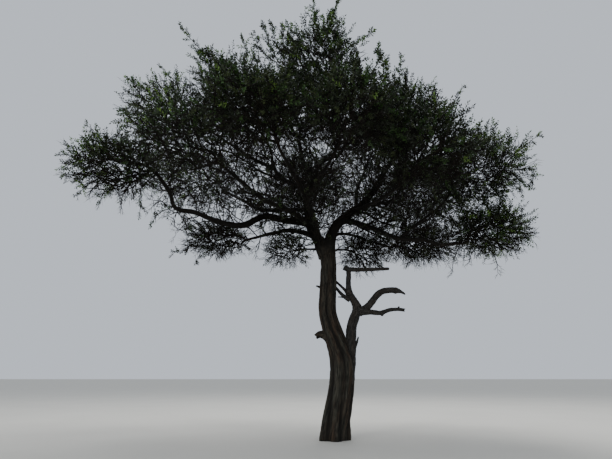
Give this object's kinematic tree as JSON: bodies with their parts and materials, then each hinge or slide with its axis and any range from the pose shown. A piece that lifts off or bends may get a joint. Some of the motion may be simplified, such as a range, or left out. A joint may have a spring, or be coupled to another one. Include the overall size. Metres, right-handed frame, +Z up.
{
  "type": "acacia tree",
  "caption": "Flat-crowned savanna tree: leaning fluted trunk, a dead side branch, spreading crooked boughs and an open domed crown of small leaves.",
  "frame": {"origin": "middle of the trunk's flat cut at ground level", "axes": "+Z up the trunk, +X towards the side with the dead branch, +Y away from the side that the picture shows"},
  "size_m": [13.294, 11.142, 11.572],
  "materials": {
    "bark": "deeply fluted grey-brown bark",
    "dead_wood": "weathered bare grey wood",
    "foliage": "small matt olive-green leaves"
  },
  "bodies": {
    "root": {"trunk": "bark", "dead_branch": "dead_wood", "leader_left": "bark", "leader_right": "bark", "bough_left": "bark", "bough_low_left": "bark", "bough_back_left": "bark", "bough_shoulder_left": "bark", "bough_mid_left": "bark", "bough_front_left": "bark", "bough_near_left": "bark", "bough_near_right": "bark", "bough_top_front": "bark", "bough_back": "bark", "bough_upper_back": "bark", "bough_back_right": "bark", "bough_right": "bark", "bough_mid_right": "bark", "bough_front_right": "bark", "bough_low_right": "bark", "bough_skirt_left": "bark", "bough_skirt_right": "bark", "foliage_tip_left": "foliage", "foliage_mid_left": "foliage", "foliage_front_left": "foliage", "foliage_back_left": "foliage", "foliage_low_left": "foliage", "foliage_near_left": "foliage", "foliage_near_right": "foliage", "foliage_shoulder_left": "foliage", "foliage_top_front": "foliage", "foliage_top_back": "foliage", "foliage_shoulder_right": "foliage", "foliage_front_right": "foliage", "foliage_mid_right": "foliage", "foliage_tip_right": "foliage", "foliage_low_right": "foliage", "foliage_back_right": "foliage", "foliage_back": "foliage", "foliage_upper_back": "foliage", "foliage_skirt_left": "foliage", "foliage_skirt_right": "foliage"}
  },
  "joints": []
}
